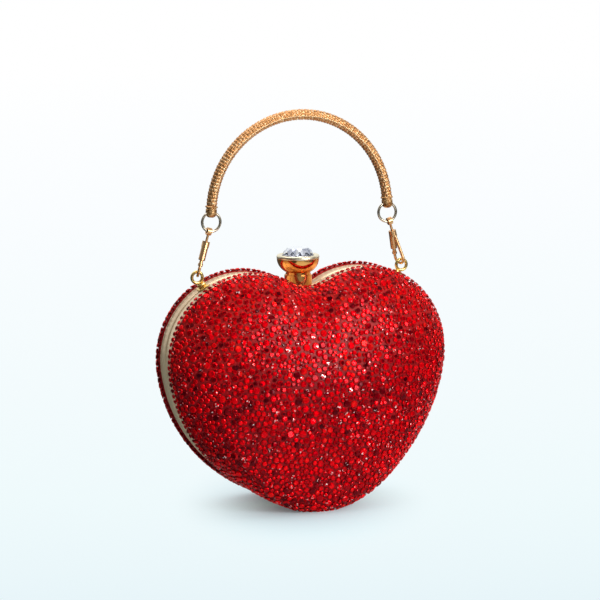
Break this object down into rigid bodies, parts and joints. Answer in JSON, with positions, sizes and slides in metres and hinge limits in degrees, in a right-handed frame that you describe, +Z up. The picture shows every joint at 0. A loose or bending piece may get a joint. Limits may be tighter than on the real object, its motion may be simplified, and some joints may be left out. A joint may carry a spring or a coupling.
{
  "type": "heart shaped evening purse",
  "caption": "Hard heart shaped evening purse covered in red crystals, with a gold frame, a push-button clasp with a clear crystal, and an arched gold handle on snap hooks.",
  "frame": {"origin": "centre of the purse at the level that it stands on, under the parting line of the two halves", "axes": "+Z up, -Y towards the front half, +X to the right of someone who faces the front"},
  "size_m": [0.1636, 0.0768, 0.2185],
  "materials": {
    "champagne_gold": "satin plated",
    "warm_gold": "polished plated",
    "gold_mesh": "woven scale mesh",
    "pink_gold": "polished plated",
    "pale_gold": "polished plated",
    "red_crystal": "faceted",
    "clear_crystal": "faceted",
    "shell_metal": "pressed",
    "satin_lining": "satin",
    "steel": "brushed",
    "core_rubber": "matte"
  },
  "bodies": {
    "rear_half": {"rear_frame": "champagne_gold", "rear_shell": "shell_metal", "rear_stone_bed": "red_crystal", "rear_lining": "satin_lining", "rear_hinge_leaf": "champagne_gold", "hinge_pin": "steel", "left_eyelet": "warm_gold", "right_eyelet": "warm_gold", "clasp_collar": "warm_gold", "button_spring": "steel"},
    "front_half": {"front_frame": "champagne_gold", "front_shell": "shell_metal", "front_stone_bed": "red_crystal", "front_lining": "satin_lining", "front_hinge_leaf": "champagne_gold", "catch_plate": "champagne_gold", "catch_rivets": "champagne_gold"},
    "button": {"button_cup": "warm_gold", "crystal_bezel": "pale_gold", "clasp_crystal": "clear_crystal", "latch_stem": "steel"},
    "handle": {"handle_core": "core_rubber", "handle_sleeve": "gold_mesh", "left_end_cap": "warm_gold", "right_end_cap": "warm_gold"},
    "left_snap": {"left_snap_eye": "pink_gold"},
    "left_hook": {"left_snap_hook": "pink_gold", "left_snap_spring": "steel"},
    "left_bolt": {"left_snap_bolt": "pink_gold"},
    "left_ring": {"left_jump_ring": "pale_gold"},
    "right_snap": {"right_snap_eye": "pink_gold"},
    "right_hook": {"right_snap_hook": "pink_gold", "right_snap_spring": "steel"},
    "right_bolt": {"right_snap_bolt": "pink_gold"},
    "right_ring": {"right_jump_ring": "pale_gold"}
  },
  "joints": [
    {"name": "front_hinge", "type": "hinge", "parent": "rear_half", "child": "front_half", "pos_m": [0, 0, 0.00414], "axis": [1, 0, 0], "range_deg": [0, 75]},
    {"name": "button_press", "type": "slide", "parent": "rear_half", "child": "button", "axis": [0, 0, -1], "range_m": [0, 0.001], "stiffness_N_per_m": 2500, "springref_m": -0.001},
    {"name": "left_snap_swing", "type": "hinge", "parent": "rear_half", "child": "left_snap", "pos_m": [-0.05993, 0.001, 0.13179], "axis": [1, 0, 0], "range_deg": [-30, 30]},
    {"name": "right_snap_swing", "type": "hinge", "parent": "rear_half", "child": "right_snap", "pos_m": [0.05993, 0.001, 0.13179], "axis": [1, 0, 0], "range_deg": [-30, 30]},
    {"name": "left_ring_swing", "type": "hinge", "parent": "left_snap", "child": "left_ring", "pos_m": [-0.05367, 0.001, 0.15392], "axis": [1, 0, 0], "range_deg": [-25, 25]},
    {"name": "right_ring_swing", "type": "hinge", "parent": "right_snap", "child": "right_ring", "pos_m": [0.05367, 0.001, 0.15392], "axis": [1, 0, 0], "range_deg": [-25, 25]},
    {"name": "handle_swing", "type": "hinge", "parent": "left_ring", "child": "handle", "pos_m": [-0.05224, 0.001, 0.16422], "axis": [1, 0, 0], "range_deg": [-25, 25]},
    {"name": "left_hook_swivel", "type": "hinge", "parent": "left_snap", "child": "left_hook", "pos_m": [-0.05993, 0.001, 0.13179], "axis": [0.2723, 0, 0.9622], "range_deg": [0, 44]},
    {"name": "right_hook_swivel", "type": "hinge", "parent": "right_snap", "child": "right_hook", "pos_m": [0.05993, 0.001, 0.13179], "axis": [-0.2723, 0, 0.9622], "range_deg": [-44, 0]},
    {"name": "left_bolt_slide", "type": "slide", "parent": "left_hook", "child": "left_bolt", "axis": [0.3325, 0.1625, 0.929], "range_m": [0, 0.0019], "stiffness_N_per_m": 400, "springref_m": -0.001},
    {"name": "right_bolt_slide", "type": "slide", "parent": "right_hook", "child": "right_bolt", "axis": [-0.2036, -0.1625, 0.9655], "range_m": [0, 0.0019], "stiffness_N_per_m": 400, "springref_m": -0.001}
  ],
  "couplings": [
    {"joint": "right_snap_swing", "follows": "left_snap_swing", "ratio": 1},
    {"joint": "right_ring_swing", "follows": "left_ring_swing", "ratio": 1}
  ]
}
